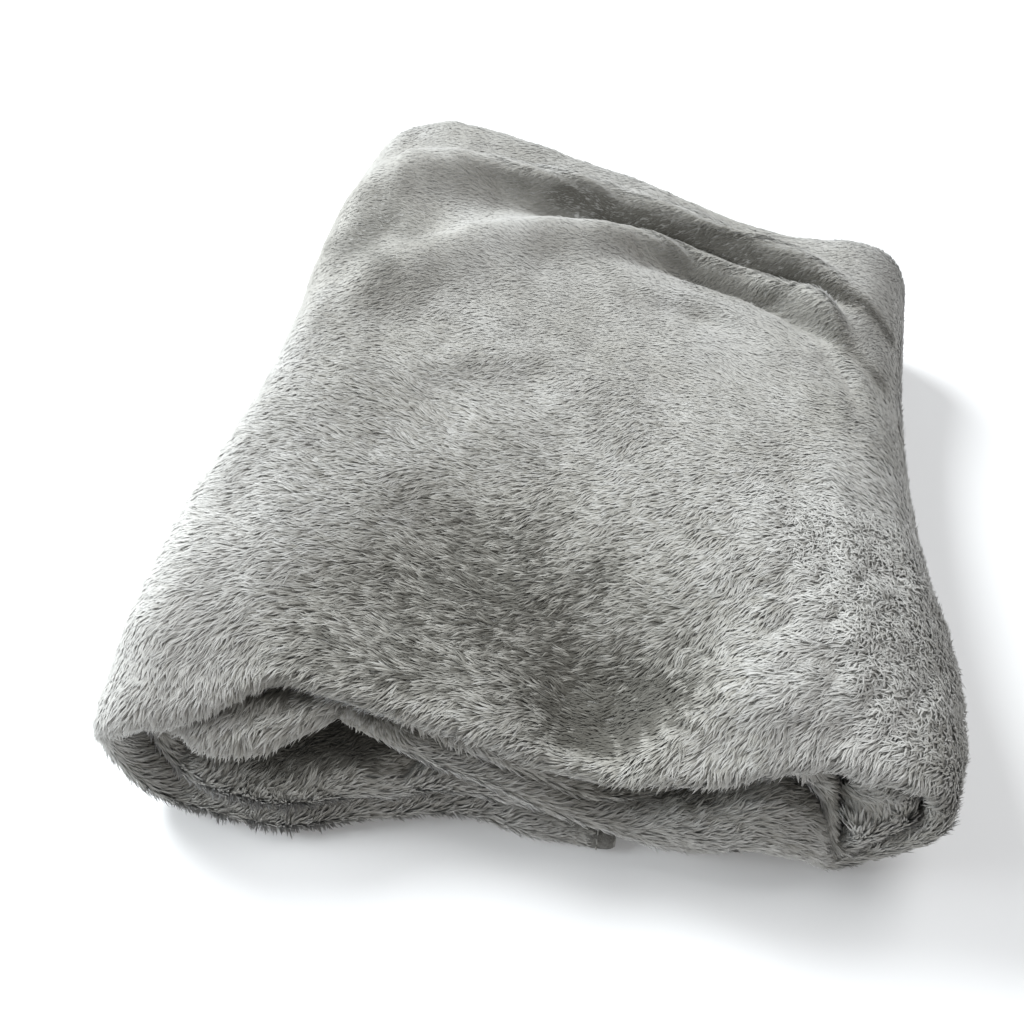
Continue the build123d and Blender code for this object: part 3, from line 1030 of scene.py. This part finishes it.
def back_hem(name, s_values, stands_for):
    """The turned hems along both long edges, hidden in the fold at the back."""
    both, faces = [], []
    shift = 0
    for n, way in ((INNER, 1), (-INNER, -1)):
        rows = np.array([1.0, 3.0, 7.0, 11.0, HEM])[::way]
        columns = np.column_stack([path[0, 0] - (rows - 1.5) / ACROSS, np.full(len(rows), n)])
        points, normal = grid(s_values, columns[::-1])
        piece, side = shell(points, normal, HEM_HALF)
        both.append(piece)
        faces.append(side + shift)
        shift += len(piece)
    obj = mesh_object(name, np.concatenate(both), np.concatenate(faces), hem_look)
    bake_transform(obj)
    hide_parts(*stands_for)
    return obj


left_trim = [
    end_hem("left_end_hem", 0.0, 1, "left_flap", "left_flap_end_hem"),
    end_stitches("left_end_stitches", 0.0, 1, "left_flap", "left_flap_end_thread"),
    back_hem("left_back_hem", left_s[left_s > HEM], ["left_flap_back_hem"]),
]
lid_trim = [
    end_hem("right_end_hem", S_END, -1, "lid", "right_flap_end_hem"),
    end_stitches("right_end_stitches", S_END, -1, "lid", "right_flap_end_thread"),
    back_hem("lid_back_hem", lid_s[lid_s < S_END - HEM], ["centre_back_hem", "right_flap_back_hem"]),
]

# ---- floor, light and camera -------------------------------------------------
floor_mesh = bpy.data.meshes.new("floor")
half = 4
corners = [(-half, -half, 0), (half, -half, 0), (half, half, 0), (-half, half, 0)]
floor_mesh.from_pydata(corners, [], [(0, 1, 2, 3)])
floor = bpy.data.objects.new("floor", floor_mesh)
bpy.context.scene.collection.objects.link(floor)
floor_look, _, floor_shader = nodes_of("studio_floor")
floor_shader.inputs["Base Color"].default_value = (0.86, 0.86, 0.86, 1)
floor_shader.inputs["Roughness"].default_value = 0.9
floor_mesh.materials.append(floor_look)

world = bpy.data.worlds.new("studio")
world.use_nodes = True
background = world.node_tree.nodes["Background"]
background.inputs["Color"].default_value = (0.93, 0.96, 1.0, 1)
background.inputs["Strength"].default_value = 0.24
bpy.context.scene.world = world
bpy.context.scene.view_settings.view_transform = "Standard"


def area_light(name, location, target, size, power, colour):
    """A round lamp, in metres and watts, aimed at a target."""
    data = bpy.data.lights.new(name, "AREA")
    data.shape = "DISK"
    data.size = size
    data.energy = power
    data.color = colour
    light = bpy.data.objects.new(name, data)
    light.location = location
    light.rotation_euler = (Vector(target) - Vector(location)).to_track_quat("-Z", "Y").to_euler()
    bpy.context.scene.collection.objects.link(light)


area_light("window", (-2.35, 1.65, 2.3), (0, 0, 0.05), 1.6, 188, (0.94, 0.98, 1.0))
area_light("ceiling", (0.7, 0.9, 2.2), (0, 0, 0.05), 1.4, 30, (0.98, 0.99, 1.0))
area_light("left_side", (-1.4, -0.35, 0.55), (0, 0, 0.05), 0.8, 18, (0.92, 0.97, 1.0))
area_light("fill", (0.7, -1.5, 0.9), (0, 0, 0.03), 1.2, 8.5, (1.0, 0.98, 0.96))

camera_data = bpy.data.cameras.new("camera")
camera_data.lens = 31.3
camera_data.sensor_width = 36
camera_data.clip_start = 0.01
camera_data.clip_end = 20
camera = bpy.data.objects.new("camera", camera_data)
pitch, yaw = math.radians(53.4), math.radians(10.5)
forward = Vector((-math.sin(yaw) * math.cos(pitch), math.cos(yaw) * math.cos(pitch), -math.sin(pitch)))
camera.location = (0.018, -0.371, 0.474)   # with pitch and yaw, fitted to the photo
camera.rotation_euler = forward.to_track_quat("-Z", "Y").to_euler()
bpy.context.scene.collection.objects.link(camera)
bpy.context.scene.camera = camera
